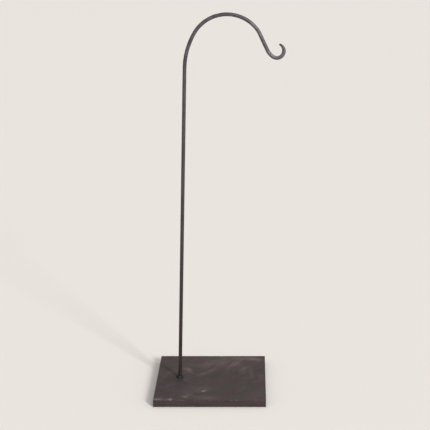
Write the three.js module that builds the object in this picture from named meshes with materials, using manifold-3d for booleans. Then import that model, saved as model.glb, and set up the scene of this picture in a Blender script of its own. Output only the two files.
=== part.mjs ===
// A free-standing hook stand: one round forged bar stands near the left side of a heavy square steel
// plate, sweeps over in a wide crook and ends in a small upturned hook with a tapered tip. The bar
// sits in a drilled seat and is held by a weld bead, and four thin felt pads carry the plate.
//
// Millimetres, +Z up. The origin is on the floor under the middle of the plate, and +X points from
// the upright towards the hook. The bar's centreline lies in the plane y = 0.

import * as THREE from "three";
import { mergeVertices } from "three/addons/utils/BufferGeometryUtils.js";
import Module from "manifold-3d";

// Base plate and the pads under it
const PLATE_SIDE = 300;
const PLATE_THICKNESS = 20;
const PLATE_EDGE_BREAK = 0.4;
const PAD_DIAMETER = 30;
const PAD_THICKNESS = 1;
const PAD_INSET = 25; // from the plate's sides to a pad's centre

// Bar, from its foot to its tip
const BAR_DIAMETER = 10;
const BAR_X = -87; // where its axis leaves the plate's top
const BAR_LEAN = 1.75; // degrees from the vertical, towards the hook
const UPRIGHT_LENGTH = 858.5; // from the plate's top to the first bend
const FOOT_CHAMFER = 0.8;
const TIP_DIAMETER = 5.4;
const TAPER_LENGTH = 22;

// The bar's bends in order. A positive turn, in degrees, bends the bar over towards +X, and a
// negative turn bends it back up. The length is that of the straight stretch after the bend.
const BENDS = [
  { radius: 190, turn: 28.5, length: 0 },
  { radius: 97, turn: 111, length: 0 },
  { radius: 60, turn: 13.5, length: 46.5 },
  { radius: 44, turn: -29.5, length: 0 },
  { radius: 18, turn: -186, length: 3.5 },
];

// The drilled seat and the weld bead around the bar's foot
const SEAT_DEPTH = 8;
const CLEARANCE = 0.3; // between solids that touch on the real object
const BEAD_DIAMETER = 22;
const BEAD_HEIGHT = 8;

// Facets
const BAR_SIDES = 16;
const BEND_CHORD_ERROR = 0.04;
const TIP_STEPS = 4;
const ROUND_SIDES = 32;
const BEAD_STEPS = 6;

const PLATE_TOP = PAD_THICKNESS + PLATE_THICKNESS;
const LEAN = THREE.MathUtils.degToRad(BAR_LEAN);
// How far the leaning bar drifts sideways over the depth of its seat or the height of its bead
const FOOT_DRIFT = Math.tan(LEAN) * Math.max(SEAT_DEPTH, BEAD_HEIGHT);

const wasm = await Module();
wasm.setup();

const steel = (color, roughness) =>
  new THREE.MeshStandardMaterial({ color, roughness, metalness: 0.6 });
const plateSteel = steel(0x3d3836, 0.55);
const barSteel = steel(0x37343a, 0.45);
const weldSteel = steel(0x2c2d2c, 0.65);
const felt = new THREE.MeshStandardMaterial({ color: 0x2b2928, roughness: 1, metalness: 0 });

function part(name, geometry, material, position = [0, 0, 0]) {
  const mesh = new THREE.Mesh(geometry, material);
  mesh.name = name;
  mesh.position.set(...position);
  return mesh;
}

function toSolid(geometry) {
  const bare = geometry.clone().deleteAttribute("normal").deleteAttribute("uv");
  const merged = mergeVertices(bare);
  const vertProperties = merged.getAttribute("position").array;
  const triVerts = new Uint32Array(merged.index.array);
  return new wasm.Manifold(new wasm.Mesh({ numProp: 3, vertProperties, triVerts }));
}

function toGeometry(solid) {
  const { vertProperties, triVerts } = solid.getMesh();
  const geometry = new THREE.BufferGeometry();
  geometry.setAttribute("position", new THREE.BufferAttribute(vertProperties, 3));
  geometry.setIndex(new THREE.BufferAttribute(triVerts, 1));
  geometry.computeVertexNormals();
  return geometry;
}

// The plate, with its edges just broken and a blind seat drilled for the bar. Its underside is z = 0.
function plateGeometry() {
  const half = PLATE_SIDE / 2 - PLATE_EDGE_BREAK;
  const outline = new THREE.Shape();
  outline.moveTo(-half, -half);
  outline.lineTo(half, -half);
  outline.lineTo(half, half);
  outline.lineTo(-half, half);
  outline.closePath();
  const slab = new THREE.ExtrudeGeometry(outline, {
    depth: PLATE_THICKNESS - 2 * PLATE_EDGE_BREAK,
    bevelThickness: PLATE_EDGE_BREAK,
    bevelSize: PLATE_EDGE_BREAK,
    bevelSegments: 1,
  });
  slab.translate(0, 0, PLATE_EDGE_BREAK);

  // The drill stands twice as tall as the seat is deep, so that it breaks through the top face.
  const drillRadius = BAR_DIAMETER / 2 + CLEARANCE + FOOT_DRIFT;
  const drill = new THREE.CylinderGeometry(drillRadius, drillRadius, 2 * SEAT_DEPTH, ROUND_SIDES);
  drill.rotateX(Math.PI / 2);
  drill.translate(BAR_X, 0, PLATE_THICKNESS);
  return toGeometry(toSolid(slab).subtract(toSolid(drill)));
}

// The bar's centreline, drawn in the X-Z plane as straight stretches and arcs that run smoothly on.
function barCentreline() {
  const line = new THREE.CurvePath();
  const seated = (SEAT_DEPTH - CLEARANCE) / Math.cos(LEAN);
  const foot = new THREE.Vector2(BAR_X - seated * Math.sin(LEAN), PLATE_TOP - SEAT_DEPTH + CLEARANCE);
  let end = foot;
  let heading = Math.PI / 2 - LEAN; // counterclockwise from +X

  const goStraight = (length) => {
    const step = new THREE.Vector2(Math.cos(heading), Math.sin(heading)).multiplyScalar(length);
    const next = end.clone().add(step);
    line.add(new THREE.LineCurve(end, next));
    end = next;
  };
  const bend = (radius, turn) => {
    const clockwise = turn > 0;
    const from = heading + (clockwise ? Math.PI / 2 : -Math.PI / 2); // seen from the bend's centre
    const to = from - turn;
    const spoke = new THREE.Vector2(Math.cos(from), Math.sin(from)).multiplyScalar(radius);
    const centre = end.clone().sub(spoke);
    const arc = new THREE.EllipseCurve(centre.x, centre.y, radius, radius, from, to, clockwise);
    line.add(arc);
    end = arc.getPoint(1);
    heading -= turn;
  };

  goStraight(seated + UPRIGHT_LENGTH);
  for (const { radius, turn, length } of BENDS) {
    bend(radius, THREE.MathUtils.degToRad(turn));
    if (length > 0) {
      goStraight(length);
    }
  }
  return line;
}

// Distances along the centreline where the bar has a ring of vertices: only the ends of a straight
// stretch, and in a bend as many as keep the chords within BEND_CHORD_ERROR of the arc.
function barStations(line) {
  const stations = [];
  let start = 0;
  for (const curve of line.curves) {
    const length = curve.getLength();
    const radius = curve.xRadius;
    const step = radius ? 2 * radius * Math.acos(1 - BEND_CHORD_ERROR / radius) : length;
    const count = Math.ceil(length / step);
    for (let i = 1; i <= count; i++) {
      stations.push(start + (length * i) / count);
    }
    start += length;
  }
  return stations;
}

// The bar is turned straight, as a round profile along its own length, and then bent: every vertex
// keeps its offset from the axis and goes to the same distance along the centreline.
function barGeometry() {
  const line = barCentreline();
  const length = line.getLength();
  const radius = BAR_DIAMETER / 2;
  const tipRadius = TIP_DIAMETER / 2;
  const taperStart = length - TAPER_LENGTH;
  const roundStart = length - tipRadius;
  const radiusAt = (s) => {
    const along = THREE.MathUtils.clamp((s - taperStart) / (roundStart - taperStart), 0, 1);
    return THREE.MathUtils.lerp(radius, tipRadius, along);
  };

  const profile = [
    new THREE.Vector2(0, 0),
    new THREE.Vector2(radius - FOOT_CHAMFER, 0),
    new THREE.Vector2(radius, FOOT_CHAMFER),
  ];
  for (const s of barStations(line)) {
    if (s < roundStart) {
      profile.push(new THREE.Vector2(radiusAt(s), s));
    }
  }
  for (let i = 0; i <= TIP_STEPS; i++) {
    const angle = (i / TIP_STEPS) * (Math.PI / 2);
    const ringRadius = i < TIP_STEPS ? tipRadius * Math.cos(angle) : 0;
    profile.push(new THREE.Vector2(ringRadius, roundStart + tipRadius * Math.sin(angle)));
  }

  const geometry = new THREE.LatheGeometry(profile, BAR_SIDES);
  const vertices = geometry.getAttribute("position");
  for (let i = 0; i < vertices.count; i++) {
    const along = THREE.MathUtils.clamp(vertices.getY(i) / length, 0, 1);
    const centre = line.getPoint(along);
    const tangent = line.getTangent(along);
    const inPlane = vertices.getX(i);
    vertices.setXYZ(
      i,
      centre.x - tangent.y * inPlane,
      vertices.getZ(i),
      centre.y + tangent.x * inPlane,
    );
  }
  geometry.computeVertexNormals();
  return geometry;
}

// The weld bead: a ring with a straight bore around the bar and a bulging flank. Its foot is z = 0.
function beadGeometry() {
  const bore = BAR_DIAMETER / 2 + CLEARANCE + FOOT_DRIFT / 2;
  const flank = new THREE.EllipseCurve(
    bore,
    0,
    BEAD_DIAMETER / 2 - bore,
    BEAD_HEIGHT,
    0,
    Math.PI / 2,
  );
  const profile = [new THREE.Vector2(bore, 0), ...flank.getPoints(BEAD_STEPS)];
  profile[profile.length - 1].x = bore;
  profile.push(profile[0].clone());
  const geometry = new THREE.LatheGeometry(profile, ROUND_SIDES);
  geometry.rotateX(Math.PI / 2);
  return geometry;
}

function padGeometry() {
  const radius = PAD_DIAMETER / 2;
  const disc = new THREE.CylinderGeometry(radius, radius, PAD_THICKNESS, ROUND_SIDES);
  disc.rotateX(Math.PI / 2);
  disc.translate(0, 0, PAD_THICKNESS / 2);
  return disc;
}

const stand = new THREE.Group();
stand.add(part("base_plate", plateGeometry(), plateSteel, [0, 0, PAD_THICKNESS]));
stand.add(part("crook_bar", barGeometry(), barSteel));
const beadX = BAR_X + FOOT_DRIFT / 2;
stand.add(part("weld_bead", beadGeometry(), weldSteel, [beadX, 0, PLATE_TOP]));

const padReach = PLATE_SIDE / 2 - PAD_INSET;
for (const [end, y] of [["front", -padReach], ["back", padReach]]) {
  for (const [side, x] of [["left", -padReach], ["right", padReach]]) {
    stand.add(part(`felt_pad_${end}_${side}`, padGeometry(), felt.clone(), [x, y, 0]));
  }
}

export default stand;
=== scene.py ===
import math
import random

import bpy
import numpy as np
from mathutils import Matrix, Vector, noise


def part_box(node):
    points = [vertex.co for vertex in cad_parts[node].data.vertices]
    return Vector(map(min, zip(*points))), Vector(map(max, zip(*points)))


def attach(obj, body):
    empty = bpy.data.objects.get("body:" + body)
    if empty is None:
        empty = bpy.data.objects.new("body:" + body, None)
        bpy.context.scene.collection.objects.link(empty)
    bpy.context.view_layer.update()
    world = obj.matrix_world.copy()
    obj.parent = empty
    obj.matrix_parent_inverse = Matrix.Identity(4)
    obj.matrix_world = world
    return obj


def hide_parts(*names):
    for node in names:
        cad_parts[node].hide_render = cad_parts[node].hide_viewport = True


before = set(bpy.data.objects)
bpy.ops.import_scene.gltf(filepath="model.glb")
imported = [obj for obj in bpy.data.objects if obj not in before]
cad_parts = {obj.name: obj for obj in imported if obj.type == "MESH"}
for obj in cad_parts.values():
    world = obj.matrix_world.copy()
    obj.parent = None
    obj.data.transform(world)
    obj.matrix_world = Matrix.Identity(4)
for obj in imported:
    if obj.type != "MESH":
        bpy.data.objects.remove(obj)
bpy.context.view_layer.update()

# A forged hook stand on a square steel plate. The CAD model sets every size and place; the bar's
# bends are repeated below, because its box doesn't say them. This script gives each piece its worked
# surface and its material, and sets up the studio and the camera. The bar's foot and the weld run
# into the plate, out of sight, where the real stand is fused.
# Metres, +Z up, +X from the upright towards the hook.

MM = 0.001

PLATE_LOW, PLATE_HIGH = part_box("base_plate")
PLATE_TOP = PLATE_HIGH.z
BAR_LOW, BAR_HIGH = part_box("crook_bar")
BEAD_LOW, BEAD_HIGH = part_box("weld_bead")

# The bar, as the CAD model bends it. A positive turn bends it over towards +X, and the length is
# that of the straight stretch after the bend.
BAR_RADIUS = (BAR_HIGH.y - BAR_LOW.y) / 2
BAR_X = -87 * MM
BAR_LEAN = math.radians(1.75)
UPRIGHT_LENGTH = 858.5 * MM
BENDS = [
    {"radius": 190 * MM, "turn": 28.5, "length": 0},
    {"radius": 97 * MM, "turn": 111, "length": 0},
    {"radius": 60 * MM, "turn": 13.5, "length": 46.5 * MM},
    {"radius": 44 * MM, "turn": -29.5, "length": 0},
    {"radius": 18 * MM, "turn": -186, "length": 3.5 * MM},
]
TIP_RADIUS = 2.7 * MM
TAPER_LENGTH = 22 * MM


# ---------------------------------------------------------------------------------------------
# Pieces


def piece(name, vertices, faces, material, slot, *nodes):
    """A smooth-shaded mesh object that rides on the stand and stands for these CAD nodes."""
    mesh = bpy.data.meshes.new(name)
    mesh.from_pydata([tuple(v) for v in vertices], [], faces)
    mesh.validate()
    mesh.shade_smooth()
    mesh.materials.append(material)
    made = bpy.data.objects.new(name, mesh)
    bpy.context.scene.collection.objects.link(made)
    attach(made, "root")
    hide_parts(*nodes)
    return made


def paint(made, name, values):
    """A number for each vertex, which the material reads as an attribute."""
    attribute = made.data.attributes.new(name, "FLOAT", "POINT")
    attribute.data.foreach_set("value", np.array(values, np.float32))


def ripple(point, scale, octaves=3):
    """Smooth noise from about -1 to 1, with features about 1 / scale metres across."""
    return noise.fractal(Vector(point) * scale, 1.0, 2.0, octaves)


def ring_faces(rings, sides):
    """Quads between rings of vertices that follow each other, the ring's last vertex to its first."""
    faces = []
    for ring in range(rings - 1):
        for side in range(sides):
            a = ring * sides + side
            b = ring * sides + (side + 1) % sides
            faces.append((a, b, b + sides, a + sides))
    return faces


# ---------------------------------------------------------------------------------------------
# The base plate

EDGE_RADIUS = 0.7 * MM
EDGE_LINES = [0, 0.25 * MM, 0.55 * MM, 0.9 * MM, 1.4 * MM, 2.4 * MM]
PLATE_STEP = 2.5 * MM
NICKS = 40
NICK_SEED = 11
# A nick's radius and depth in millimetres: the smallest, and how much the largest adds
NICK_RADIUS = (1.5, 2.5)
NICK_DEPTH = (0.15, 0.4)
NICK_ZONE = 6 * MM
# Harder knocks on the front edge, at these x
FRONT_KNOCKS = [-0.146, -0.138, -0.104]
KNOCK_RADIUS = 4 * MM
KNOCK_DEPTH = 0.5 * MM
# How far the rolled faces and the sawn sides wander
FACE_WAVE = 0.05 * MM
SIDE_WAVE = 0.12 * MM
SMEAR_REACH = 9

# Pale patches, smears and scuffs on the plate's top: (x, y, length, width, angle in degrees, strength)
SMEARS = [
    # a pale ring beside the bar's foot
    (-0.071, 0.056, 0.024, 0.016, -20, 1.3),
    (-0.060, 0.036, 0.034, 0.014, -60, 0.8),
    (-0.076, 0.030, 0.022, 0.014, 80, 0.3),
    # a paler patch over the back middle
    (0.005, 0.105, 0.130, 0.100, 0, 0.42),
    (-0.018, 0.082, 0.060, 0.026, 70, 0.5),
    (0.035, 0.102, 0.060, 0.028, 60, 0.45),
    (0.000, 0.048, 0.062, 0.014, 52, 0.8),
    (-0.026, 0.024, 0.026, 0.016, 60, 0.9),
    # wiping marks towards the back right corner
    (0.057, 0.092, 0.070, 0.008, 68, 1.0),
    (0.071, 0.098, 0.060, 0.008, 62, 0.8),
    (0.076, 0.131, 0.070, 0.018, -6, 0.9),
    (0.121, 0.127, 0.050, 0.024, -18, 1.2),
    (0.088, 0.050, 0.040, 0.020, 80, 0.9),
    (0.110, 0.035, 0.070, 0.012, 95, 0.5),
    (0.138, 0.006, 0.040, 0.018, 90, 0.5),
    # scuffs near the front
    (-0.018, -0.093, 0.007, 0.008, 60, 2.6),
    (-0.018, -0.092, 0.024, 0.005, 8, 0.9),
    (-0.028, -0.082, 0.060, 0.034, 20, 0.7),
    (-0.058, -0.110, 0.036, 0.022, -60, 0.6),
    (-0.067, -0.129, 0.022, 0.015, -50, 1.3),
    (-0.010, -0.134, 0.075, 0.024, -6, 0.8),
    (0.118, -0.120, 0.060, 0.040, 30, 0.35),
    # the knocked front left edge
    (-0.141, -0.144, 0.022, 0.010, 0, 1.8),
    (-0.118, -0.145, 0.036, 0.012, 0, 1.0),
    (-0.104, -0.145, 0.009, 0.010, 0, 2.6),
]


def plate_lines(low, high):
    """Coordinates of the plate's mesh lines: close together at its edges, even in between."""
    inner = EDGE_LINES[-1]
    count = max(1, round((high - low - 2 * inner) / PLATE_STEP))
    middle = np.linspace(low + inner, high - inner, count + 1)
    start = [low + line for line in EDGE_LINES[:-1]]
    end = [high - line for line in reversed(EDGE_LINES[:-1])]
    return [*start, *middle, *end]


def box_surface(lines):
    """Vertices and quads of a closed box whose mesh lines are given along X, Y and Z."""
    last = [len(line) - 1 for line in lines]
    index, vertices, faces = {}, [], []

    def vertex(key):
        if key not in index:
            index[key] = len(vertices)
            vertices.append(Vector([lines[axis][key[axis]] for axis in range(3)]))
        return index[key]

    for axis in range(3):
        u, v = (axis + 1) % 3, (axis + 2) % 3
        for side in (0, last[axis]):
            for i in range(last[u]):
                for j in range(last[v]):
                    corners = []
                    for du, dv in ((0, 0), (1, 0), (1, 1), (0, 1)):
                        key = [0, 0, 0]
                        key[axis], key[u], key[v] = side, i + du, j + dv
                        corners.append(vertex(tuple(key)))
                    faces.append(corners if side else corners[::-1])
    return vertices, faces


def edge_nicks():
    """Knocks along the plate's top edges: (place, radius, depth)."""
    picks = random.Random(NICK_SEED)
    nicks = [
        (Vector((x, PLATE_LOW.y, PLATE_TOP)), KNOCK_RADIUS, KNOCK_DEPTH) for x in FRONT_KNOCKS
    ]
    for _ in range(NICKS):
        along = picks.uniform(0.02, 0.98)
        x = PLATE_LOW.x + along * (PLATE_HIGH.x - PLATE_LOW.x)
        y = PLATE_LOW.y + along * (PLATE_HIGH.y - PLATE_LOW.y)
        place = picks.choice([
            Vector((x, PLATE_LOW.y, PLATE_TOP)),
            Vector((x, PLATE_HIGH.y, PLATE_TOP)),
            Vector((PLATE_LOW.x, y, PLATE_TOP)),
            Vector((PLATE_HIGH.x, y, PLATE_TOP)),
        ])
        size = picks.random() ** 2
        radius = (NICK_RADIUS[0] + NICK_RADIUS[1] * size) * MM
        depth = (NICK_DEPTH[0] + NICK_DEPTH[1] * size) * MM
        nicks.append((place, radius, depth))
    return nicks


def smear_strength(point):
    """How pale the plate's top is rubbed at a point."""
    total = 0.0
    for x, y, length, width, angle, strength in SMEARS:
        turn = math.radians(angle)
        dx, dy = point.x - x, point.y - y
        along = (dx * math.cos(turn) + dy * math.sin(turn)) / (length / 2)
        across = (dy * math.cos(turn) - dx * math.sin(turn)) / (width / 2)
        reach = along * along + across * across
        if reach < SMEAR_REACH:
            total += strength * math.exp(-reach)
    return total


def make_plate(material):
    lines = [plate_lines(PLATE_LOW[axis], PLATE_HIGH[axis]) for axis in range(3)]
    vertices, faces = box_surface(lines)
    nicks = edge_nicks()
    wear, smear, flank = [], [], []
    for vertex in vertices:
        start = vertex.copy()
        radius = EDGE_RADIUS * (1 + 0.5 * ripple(start, 45))
        inner = Vector([
            min(max(vertex[axis], PLATE_LOW[axis] + radius), PLATE_HIGH[axis] - radius)
            for axis in range(3)
        ])
        outward = (start - inner).normalized()
        vertex[:] = inner + outward * radius
        near_edge = sum(abs(c) > 0.25 for c in outward) > 1
        worn = 1.0 if near_edge else 0.0

        hollow = FACE_WAVE * (1 + ripple(start, 9))
        if abs(outward.z) < 0.9:
            hollow += SIDE_WAVE * (1 + ripple(start, 60))
        if start.z > PLATE_TOP - NICK_ZONE:
            for place, reach, depth in nicks:
                away = (start - place).length
                if away < reach:
                    bite = (1 - (away / reach) ** 2) ** 2
                    hollow += depth * bite
                    worn = max(worn, bite)
        vertex -= outward * hollow
        wear.append(worn)
        smear.append(smear_strength(start) if outward.z > 0.5 else 0.0)
        flank.append(1 - abs(outward.z))
    plate = piece("steel_plate", vertices, faces, material, "plate_steel", "base_plate")
    paint(plate, "wear", wear)
    paint(plate, "smear", smear)
    paint(plate, "flank", flank)
    return plate


# ---------------------------------------------------------------------------------------------
# The bar

BAR_SIDES = 40
UPRIGHT_STEP = 4 * MM
BEND_STEP = 1.2 * MM
TIP_RINGS = 6
# Metres along the bar from its foot: where the hammer flats begin, and where the scale starts to
# grow paler and is palest
FORGED_FROM = 0.84
WORKED_FROM = 0.78
WORKED_TO = 1.23
HAMMER_FLATS = 110
HAMMER_SEED = 5
FLAT_LENGTH = 12 * MM
FLAT_DEPTH = 0.45 * MM
SCALE_DEPTH = 0.04 * MM
SKIN_DEPTH = 0.02 * MM
# Metres back from the tip: how far the soot reaches, and the middle and half length of the stretch
# that hanging loads have polished
TIP_SOOT = 26 * MM
POLISH_MIDDLE = 45 * MM
POLISH_REACH = 22 * MM


def bar_stretches():
    """The centreline's stretches in the X-Z plane: (length, start, heading, signed radius)."""
    heading = math.pi / 2 - BAR_LEAN
    buried = (PLATE_TOP - BAR_LOW.z) / math.cos(BAR_LEAN)
    start = Vector((BAR_X, PLATE_TOP)) - buried * direction(heading)
    stretches = [(buried + UPRIGHT_LENGTH, start, heading, 0)]
    for bend in BENDS:
        turn = math.radians(bend["turn"])
        start = stretch_point(stretches[-1], stretches[-1][0])[0]
        signed = math.copysign(bend["radius"], turn)
        stretches.append((bend["radius"] * abs(turn), start, heading, signed))
        heading -= turn
        if bend["length"]:
            start = stretch_point(stretches[-1], stretches[-1][0])[0]
            stretches.append((bend["length"], start, heading, 0))
    return stretches


def direction(heading):
    return Vector((math.cos(heading), math.sin(heading)))


def stretch_point(stretch, distance):
    """The centreline's place and heading at a distance along one of its stretches."""
    _, start, heading, radius = stretch
    if not radius:
        return start + distance * direction(heading), heading
    turned = heading - distance / radius
    centre = start + radius * direction(heading - math.pi / 2)
    return centre + radius * direction(turned + math.pi / 2), turned


def bar_rings():
    """(distance along the bar, place, heading, share of the bar's full thickness) for each ring."""
    stretches = bar_stretches()
    total = sum(stretch[0] for stretch in stretches)
    rings, passed = [], 0.0
    for stretch in stretches:
        step = BEND_STEP if stretch[3] else UPRIGHT_STEP
        count = math.ceil(stretch[0] / step)
        first = 0 if not rings else 1
        for i in range(first, count + 1):
            distance = stretch[0] * i / count
            if passed + distance < total - TIP_RADIUS:
                place, heading = stretch_point(stretch, distance)
                rings.append((passed + distance, place, heading, 1.0))
        passed += stretch[0]
    for i in range(TIP_RINGS):
        angle = math.pi / 2 * i / TIP_RINGS
        distance = stretches[-1][0] - TIP_RADIUS * (1 - math.sin(angle))
        place, heading = stretch_point(stretches[-1], distance)
        rings.append((passed - TIP_RADIUS * (1 - math.sin(angle)), place, heading, math.cos(angle)))
    return rings, total


def hammer_flats(total):
    """Flats left by the hammer where the bar was bent: (distance along it, angle around it, depth)."""
    picks = random.Random(HAMMER_SEED)
    flats = []
    for _ in range(HAMMER_FLATS):
        place = picks.uniform(FORGED_FROM, total - TAPER_LENGTH / 2)
        flats.append((place, picks.uniform(0, 2 * math.pi), picks.uniform(0.3, 1) * FLAT_DEPTH))
    return flats


def flattened(radius, distance, angle, flats):
    """The bar's radius where these flats may dig into it."""
    reach = radius
    for place, facing, depth in flats:
        turn = math.cos(angle - facing)
        if turn > 0:
            ease = 1 - (2 * (distance - place) / FLAT_LENGTH) ** 2
            reach = min(reach, (radius - depth * ease) / turn)
    return reach


def paleness(distance, total):
    """How pale the scale is: it rises towards the much reheated hook and falls at the sooty tip."""
    rise = (distance - WORKED_FROM) / (WORKED_TO - WORKED_FROM)
    fall = (total - distance) / TIP_SOOT
    return max(0.0, min(1.0, rise, fall))


def make_bar(material):
    rings, total = bar_rings()
    flats = hammer_flats(total)
    vertices, polish, worked = [], [], []
    for distance, place, heading, share in rings:
        tangent = Vector((math.cos(heading), 0, math.sin(heading)))
        outward = Vector((-math.sin(heading), 0, math.cos(heading)))
        centre = Vector((place.x, 0, place.y))
        left = max(0.0, total - TIP_RADIUS - distance)
        taper = min(1.0, left / (TAPER_LENGTH - TIP_RADIUS))
        radius = TIP_RADIUS + (BAR_RADIUS - TIP_RADIUS) * taper
        near = [flat for flat in flats if abs(distance - flat[0]) < FLAT_LENGTH / 2]
        for side in range(BAR_SIDES):
            angle = 2 * math.pi * side / BAR_SIDES
            offset = outward * math.cos(angle) - Vector((0, 1, 0)) * math.sin(angle)
            surface = centre + offset * radius
            scale = SKIN_DEPTH + (1 + ripple(surface, 420, 2)) * SCALE_DEPTH / 2
            reach = flattened(radius, distance, angle, near) - scale
            vertices.append(centre + offset * reach * share)
            in_hook = abs(distance - (total - POLISH_MIDDLE)) < POLISH_REACH
            facing_up = max(0.0, offset.z)
            polish.append(facing_up ** 3 if in_hook else 0.0)
            worked.append(paleness(distance, total))
    faces = ring_faces(len(rings), BAR_SIDES)
    first, last = len(vertices), len(vertices) + 1
    tip_stretch = bar_stretches()[-1]
    end = stretch_point(tip_stretch, tip_stretch[0])[0]
    vertices.append(Vector((rings[0][1].x, 0, rings[0][1].y)))
    vertices.append(Vector((end.x, 0, end.y)))
    top = (len(rings) - 1) * BAR_SIDES
    for side in range(BAR_SIDES):
        following = (side + 1) % BAR_SIDES
        faces.append((first, following, side))
        faces.append((last, top + side, top + following))
    bar = piece("forged_bar", vertices, faces, material, "bar_steel", "crook_bar")
    paint(bar, "polish", polish + [0.0, 0.0])
    paint(bar, "worked", worked + [0.0, 0.0])
    return bar


# ---------------------------------------------------------------------------------------------
# The weld bead around the bar's foot

BEAD_SIDES = 288
BEAD_STEPS = 22
BEAD_SCALES = 24
SCALE_LIP = 0.26 * MM
BEAD_GRAIN = 0.12 * MM
BEAD_SUNK = 0.3 * MM  # its toe, into the plate
BEAD_CROWN = 0.9  # where its top ends, inside the bar, as a share of the bar's radius


def scale_height(angle, slope, drift):
    """The weld's ribs, evenly spaced around it: 0 in a groove and 1 on a rib's lip."""
    along = BEAD_SCALES * angle / (2 * math.pi) + 0.5 * math.sin(2 * slope) + 0.7 * drift
    share = along % 1
    return min(share / 0.75, (1 - share) / 0.25)


def make_weld(material):
    centre = (BEAD_LOW + BEAD_HIGH) / 2
    reach = (BEAD_HIGH.x - BEAD_LOW.x) / 2
    height = BEAD_HIGH.z - BEAD_LOW.z
    bore = BAR_RADIUS * BEAD_CROWN
    vertices = []
    for step in range(BEAD_STEPS):
        slope = math.pi / 2 * step / (BEAD_STEPS - 1)
        for side in range(BEAD_SIDES):
            angle = 2 * math.pi * side / BEAD_SIDES
            around = Vector((math.cos(angle), math.sin(angle), 0))
            lumps = ripple(around * 0.02, 70, 2)
            toe = reach * min(1.0, 0.94 + 0.1 * lumps)
            crown = height * min(1.0, 0.9 + 0.14 * lumps)
            radius = bore + (toe - bore) * max(0.0, math.cos(slope))
            point = Vector((centre.x, centre.y, 0)) + around * radius
            point.z = BEAD_LOW.z - BEAD_SUNK + (crown + BEAD_SUNK) * math.sin(slope)
            lip = scale_height(angle, slope, ripple(around * 0.02, 160, 1))
            sink = SCALE_LIP * (1 - lip) + BEAD_GRAIN * (1 + ripple(point, 500, 3))
            outward = around * math.cos(slope) + Vector((0, 0, math.sin(slope)))
            vertices.append(point - outward * sink)
    faces = ring_faces(BEAD_STEPS, BEAD_SIDES)
    faces.append(tuple(reversed(range(BEAD_SIDES))))
    top = (BEAD_STEPS - 1) * BEAD_SIDES
    faces.append(tuple(range(top, top + BEAD_SIDES)))
    return piece("weld", vertices, faces, material, "weld_steel", "weld_bead")


# ---------------------------------------------------------------------------------------------
# The felt pads

PAD_SIDES = 72
PAD_RINGS = 9


def make_pad(node, material):
    low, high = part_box(node)
    centre = (low + high) / 2
    radius = (high.x - low.x) / 2
    half = (high.z - low.z) / 2
    profile = [(share, -1.0) for share in (0.3, 0.6, 0.85)]
    for step in range(PAD_RINGS):
        angle = math.pi * (step / (PAD_RINGS - 1) - 0.5)
        profile.append((1 - (1 - math.cos(angle)) * half / radius, math.sin(angle)))
    profile += [(share, 1.0) for share in (0.85, 0.6, 0.3)]
    vertices = []
    for share, rise in profile:
        for side in range(PAD_SIDES):
            angle = 2 * math.pi * side / PAD_SIDES
            around = Vector((math.cos(angle), math.sin(angle), 0))
            frayed = 1 - 0.012 * (1 + ripple(centre + around * radius, 700, 2))
            vertices.append(centre + around * radius * share * frayed + Vector((0, 0, rise * half)))
    faces = ring_faces(len(profile), PAD_SIDES)
    faces.append(tuple(reversed(range(PAD_SIDES))))
    top = (len(profile) - 1) * PAD_SIDES
    faces.append(tuple(range(top, top + PAD_SIDES)))
    return piece(node.replace("felt_pad", "felt_disc"), vertices, faces, material, "pad_felt", node)


# ---------------------------------------------------------------------------------------------
# Materials


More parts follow.
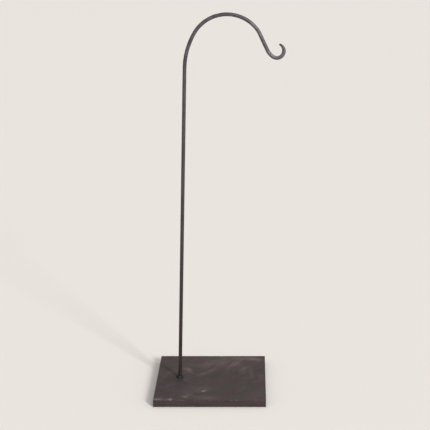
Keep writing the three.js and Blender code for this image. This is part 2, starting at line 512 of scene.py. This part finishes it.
class Shader:
    """A material being built: nodes are added by kind, with their settings and inputs."""

    def __init__(self, name):
        self.material = bpy.data.materials.new(name)
        self.material.use_nodes = True
        self.tree = self.material.node_tree
        self.surface = self.tree.nodes["Principled BSDF"]
        self.place = self.add("ShaderNodeTexCoord").outputs["Object"]

    def add(self, kind, inputs=None, **settings):
        made = self.tree.nodes.new(kind)
        for name, value in settings.items():
            setattr(made, name, value)
        for name, value in (inputs or {}).items():
            self.set(made.inputs[name], value)
        return made

    def set(self, socket, value):
        if isinstance(value, bpy.types.NodeSocket):
            self.tree.links.new(value, socket)
        else:
            socket.default_value = value

    def principled(self, **inputs):
        for name, value in inputs.items():
            self.set(self.surface.inputs[name.replace("_", " ")], value)

    def stretched(self, scale, turn=0.0):
        """Object coordinates scaled by (x, y, z), first turned about the vertical."""
        turned = self.add(
            "ShaderNodeMapping", {"Vector": self.place, "Rotation": (0, 0, math.radians(turn))}
        )
        return self.add(
            "ShaderNodeMapping", {"Vector": turned.outputs["Vector"], "Scale": scale}
        ).outputs["Vector"]

    def noise(self, scale, detail=4.0, roughness=0.55, vector=None, distortion=0.0):
        return self.add(
            "ShaderNodeTexNoise",
            {
                "Vector": vector or self.place,
                "Scale": scale,
                "Detail": detail,
                "Roughness": roughness,
                "Distortion": distortion,
            },
        ).outputs["Fac"]

    def height(self):
        return self.add("ShaderNodeSeparateXYZ", {"Vector": self.place}).outputs["Z"]

    def attribute(self, name):
        return self.add("ShaderNodeAttribute", attribute_name=name).outputs["Fac"]

    def math(self, operation, a, b=0.0, clamp=False):
        made = self.add("ShaderNodeMath", operation=operation, use_clamp=clamp)
        self.set(made.inputs[0], a)
        self.set(made.inputs[1], b)
        return made.outputs[0]

    def ramp(self, value, low, high, to_low=0.0, to_high=1.0):
        """value from low to high becomes to_low to to_high, smoothly and no further."""
        made = self.add("ShaderNodeMapRange", interpolation_type="SMOOTHSTEP")
        for socket, number in enumerate((value, low, high, to_low, to_high)):
            self.set(made.inputs[socket], number)
        return made.outputs["Result"]

    def mix(self, amount, a, b):
        """Colour a where amount is 0 and b where it is 1."""
        made = self.add("ShaderNodeMix", data_type="RGBA")
        self.set(made.inputs["Factor"], amount)
        self.set(made.inputs[6], a if isinstance(a, bpy.types.NodeSocket) else (*a, 1))
        self.set(made.inputs[7], b if isinstance(b, bpy.types.NodeSocket) else (*b, 1))
        return made.outputs[2]

    def bump(self, height, depth, strength=1.0, normal=None):
        made = self.add(
            "ShaderNodeBump", {"Height": height, "Distance": depth, "Strength": strength}
        )
        if normal:
            self.set(made.inputs["Normal"], normal)
        return made.outputs["Normal"]


BARE_STEEL = (0.30, 0.28, 0.27)


def plate_material():
    """Blackened hot-rolled plate: mottled scale under wax, pale smears, scratches, worn edges."""
    shader = Shader("blackened_plate")
    clouds = shader.noise(8, 3)
    blotches = shader.noise(24, 3, 0.5, distortion=0.8)
    tint = shader.noise(1, 3, 0.55, shader.stretched((19, 19, 19), 35), 0.5)
    grain = shader.noise(420, 3)
    pits = shader.noise(1500, 2)
    drags = shader.noise(1, 4, 0.6, shader.stretched((14, 60, 14), -55), 0.8)
    scratches = shader.noise(1, 2, 0.5, shader.stretched((14, 1300, 14), -28))
    rolled = shader.noise(1, 4, 0.65, shader.stretched((16, 16, 280)))
    flank = shader.attribute("flank")

    colour = shader.mix(shader.ramp(clouds, 0.38, 0.62), (0.056, 0.040, 0.041), (0.070, 0.047, 0.047))
    colour = shader.mix(shader.ramp(tint, 0.53, 0.68, 0, 0.75), colour, (0.053, 0.054, 0.047))
    colour = shader.mix(shader.ramp(tint, 0.34, 0.46, 0.75, 0), colour, (0.072, 0.050, 0.059))
    colour = shader.mix(shader.ramp(blotches, 0.28, 0.42, 0.5, 0), colour, (0.044, 0.035, 0.036))
    haze = shader.ramp(drags, 0.52, 0.80, 0, 0.25)
    smear = shader.math("MULTIPLY", shader.attribute("smear"), shader.ramp(drags, 0.3, 0.6, 0.4, 1))
    pale = shader.math("ADD", haze, shader.math("MULTIPLY", smear, 0.5), clamp=True)
    colour = shader.mix(pale, colour, (0.210, 0.155, 0.145))
    torn = shader.ramp(shader.noise(1, 5, 0.75, shader.stretched((90, 330, 90), 18)), 0.44, 0.58)
    rubbed = shader.math("MULTIPLY", shader.ramp(shader.attribute("smear"), 0.9, 2.6), torn)
    colour = shader.mix(shader.math("MULTIPLY", rubbed, 0.85), colour, (0.34, 0.31, 0.32))
    colour = shader.mix(shader.ramp(scratches, 0.70, 0.78, 0, 0.35), colour, (0.15, 0.13, 0.125))
    colour = shader.mix(shader.ramp(grain, 0.3, 0.7, 0.25, 0), colour, (0.030, 0.025, 0.025))
    # The sides: sawn texture under a colour darker than the top, which is painted shade.
    sawn_side_and_painted_shade = shader.mix(shader.ramp(rolled, 0.35, 0.65), (0.022, 0.018, 0.016), (0.044, 0.030, 0.033))
    colour = shader.mix(shader.math("MULTIPLY", flank, 0.8), colour, sawn_side_and_painted_shade)
    chips = shader.math(
        "MULTIPLY", shader.attribute("wear"), shader.ramp(shader.noise(160, 4, 0.7), 0.5, 0.62)
    )
    colour = shader.mix(shader.math("MULTIPLY", chips, 0.5), colour, BARE_STEEL)

    rough = shader.ramp(blotches, 0.3, 0.7, 0.44, 0.6)
    rough = shader.math("ADD", rough, shader.math("MULTIPLY", pale, 0.12))
    rough = shader.math("SUBTRACT", rough, shader.math("MULTIPLY", chips, 0.12))
    normal = shader.bump(clouds, 1.2 * MM, 0.5)
    normal = shader.bump(grain, 0.12 * MM, 0.6, normal)
    normal = shader.bump(pits, 0.04 * MM, 0.5, normal)
    normal = shader.bump(scratches, 0.05 * MM, 0.3, normal)
    normal = shader.bump(shader.math("MULTIPLY", rolled, flank), 0.3 * MM, 0.6, normal)
    shader.principled(
        Base_Color=colour, Metallic=0.2, Roughness=rough, Normal=normal, Specular_IOR_Level=0.25
    )
    return shader.material


def bar_material():
    """Forge-blackened bar: painted shade makes it brown-black at the foot, and painted light makes it
    paler and bluer higher up.
    """
    shader = Shader("forged_bar_steel")
    patches = shader.noise(26, 4, 0.6)
    flakes = shader.noise(240, 4, 0.6)
    grain = shader.noise(1400, 2)
    along = shader.noise(1, 3, 0.5, shader.stretched((600, 600, 14)))
    # Painted light and shade by height: dark brown-black low down, paler blue-grey scale higher up.
    painted_light_by_height = shader.ramp(shader.height(), 0.05, 0.85)
    painted_shade_low_colour = shader.mix(shader.ramp(patches, 0.35, 0.65), (0.026, 0.018, 0.018), (0.034, 0.023, 0.022))
    scale = shader.mix(shader.ramp(patches, 0.35, 0.65), (0.056, 0.049, 0.056), (0.073, 0.064, 0.073))
    colour = shader.mix(painted_light_by_height, painted_shade_low_colour, scale)
    pale = shader.mix(shader.ramp(patches, 0.38, 0.62), (0.072, 0.065, 0.076), (0.120, 0.108, 0.118))
    colour = shader.mix(shader.attribute("worked"), colour, pale)
    colour = shader.mix(shader.ramp(flakes, 0.50, 0.62, 0, 0.55), colour, (0.022, 0.019, 0.021))
    colour = shader.mix(shader.ramp(along, 0.62, 0.75, 0, 0.3), colour, (0.12, 0.11, 0.115))
    worn = shader.math(
        "MULTIPLY", shader.attribute("polish"), shader.ramp(flakes, 0.35, 0.6, 0.35, 1)
    )
    colour = shader.mix(worn, colour, BARE_STEEL)
    rough = shader.ramp(flakes, 0.35, 0.7, 0.36, 0.50)
    rough = shader.math("SUBTRACT", rough, shader.math("MULTIPLY", worn, 0.15))
    normal = shader.bump(flakes, 0.25 * MM, 0.8)
    normal = shader.bump(grain, 0.05 * MM, 0.6, normal)
    shader.principled(
        Base_Color=colour, Metallic=0.3, Roughness=rough, Normal=normal, Specular_IOR_Level=0.25
    )
    return shader.material


def weld_material():
    """Blackened weld metal: dark, a little glassy on the ripples, with a cool green-grey cast."""
    shader = Shader("weld_metal")
    lumps = shader.noise(300, 4, 0.6)
    colour = shader.mix(shader.ramp(lumps, 0.35, 0.65), (0.012, 0.0125, 0.012), (0.022, 0.0235, 0.023))
    rough = shader.ramp(lumps, 0.3, 0.7, 0.72, 0.52)
    normal = shader.bump(lumps, 0.4 * MM, 0.7)
    shader.principled(
        Base_Color=colour, Metallic=0.3, Roughness=rough, Normal=normal, Specular_IOR_Level=0.25
    )
    return shader.material


def felt_material():
    """Pressed wool felt: dark, matted fibres with paler flecks."""
    shader = Shader("dark_felt")
    fibres = shader.noise(2600, 3, 0.7, distortion=2.0)
    flecks = shader.noise(700, 3, 0.6)
    colour = shader.mix(shader.ramp(fibres, 0.35, 0.65), (0.020, 0.018, 0.017), (0.060, 0.055, 0.052))
    colour = shader.mix(shader.ramp(flecks, 0.62, 0.72, 0, 0.4), colour, (0.13, 0.12, 0.115))
    normal = shader.bump(fibres, 0.25 * MM, 0.9)
    rough = shader.ramp(fibres, 0.3, 0.7, 0.88, 1.0)
    shader.principled(Base_Color=colour, Roughness=rough, Normal=normal, Sheen_Weight=0.3)
    return shader.material


# ---------------------------------------------------------------------------------------------
# Studio and camera

FLOOR_REACH = 30.0
# A tall window in front and to the right: lamps of this width in degrees, one above the other. The
# room's own soft light is stronger on the window's side.
WINDOW_TILTS = [62, 70]
WINDOW_WIDTH = 9
WINDOW_BEARING = 34
WINDOW_ENERGY = 2.9
ROOM_DIM = 0.36
ROOM_BRIGHT = 0.96
CAMERA_PLACE = Vector((0.1134, -2.9161, 1.3077))
CAMERA_PITCH = 15.70
CAMERA_LENS = 95.2
CAMERA_SHIFT = -0.0867
SENSOR_WIDTH = 36
FLOOR_COLOUR = (0.80, 0.765, 0.735, 1)
ROOM_COLOUR = (1.0, 0.985, 0.97, 1)
WINDOW_COLOUR = (1.0, 0.98, 0.96)


def make_floor():
    mesh = bpy.data.meshes.new("floor")
    corners = [(-1, -1), (1, -1), (1, 1), (-1, 1)]
    mesh.from_pydata([(x * FLOOR_REACH, y * FLOOR_REACH, 0) for x, y in corners], [], [(0, 1, 2, 3)])
    floor = bpy.data.objects.new("floor", mesh)
    bpy.context.scene.collection.objects.link(floor)
    shader = Shader("pale_floor")
    shader.principled(Base_Color=FLOOR_COLOUR, Roughness=0.9)
    mesh.materials.append(shader.material)


def make_light():
    bearing = math.radians(WINDOW_BEARING)
    world = bpy.data.worlds.new("studio")
    world.use_nodes = True
    tree = world.node_tree
    background = tree.nodes["Background"]
    background.inputs["Color"].default_value = ROOM_COLOUR
    place = tree.nodes.new("ShaderNodeTexCoord")
    facing = tree.nodes.new("ShaderNodeVectorMath")
    facing.operation = "DOT_PRODUCT"
    facing.inputs[1].default_value = (math.sin(bearing), -math.cos(bearing), 0)
    room = tree.nodes.new("ShaderNodeMapRange")
    room.inputs["From Min"].default_value = -1
    room.inputs["To Min"].default_value = ROOM_DIM
    room.inputs["To Max"].default_value = ROOM_BRIGHT
    tree.links.new(place.outputs["Generated"], facing.inputs[0])
    tree.links.new(facing.outputs["Value"], room.inputs["Value"])
    tree.links.new(room.outputs["Result"], background.inputs["Strength"])
    bpy.context.scene.world = world
    lamp = bpy.data.lights.new("window", "SUN")
    lamp.energy = WINDOW_ENERGY / len(WINDOW_TILTS)
    lamp.angle = math.radians(WINDOW_WIDTH)
    lamp.color = WINDOW_COLOUR
    for tilt in WINDOW_TILTS:
        pane = bpy.data.objects.new("window_pane", lamp)
        pane.rotation_euler = (math.radians(tilt), 0, bearing)
        bpy.context.scene.collection.objects.link(pane)


def make_camera():
    data = bpy.data.cameras.new("camera")
    data.lens = CAMERA_LENS
    data.sensor_width = SENSOR_WIDTH
    data.shift_x = CAMERA_SHIFT
    data.clip_end = 100
    camera = bpy.data.objects.new("camera", data)
    camera.location = CAMERA_PLACE
    camera.rotation_euler = (math.radians(90 - CAMERA_PITCH), 0, 0)
    bpy.context.scene.collection.objects.link(camera)
    bpy.context.scene.camera = camera


make_camera()
make_light()
make_floor()
make_plate(plate_material())
make_bar(bar_material())
make_weld(weld_material())
felt = felt_material()
for pad in sorted(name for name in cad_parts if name.startswith("felt_pad")):
    make_pad(pad, felt)

view = bpy.context.scene.view_settings
view.view_transform = "Standard"
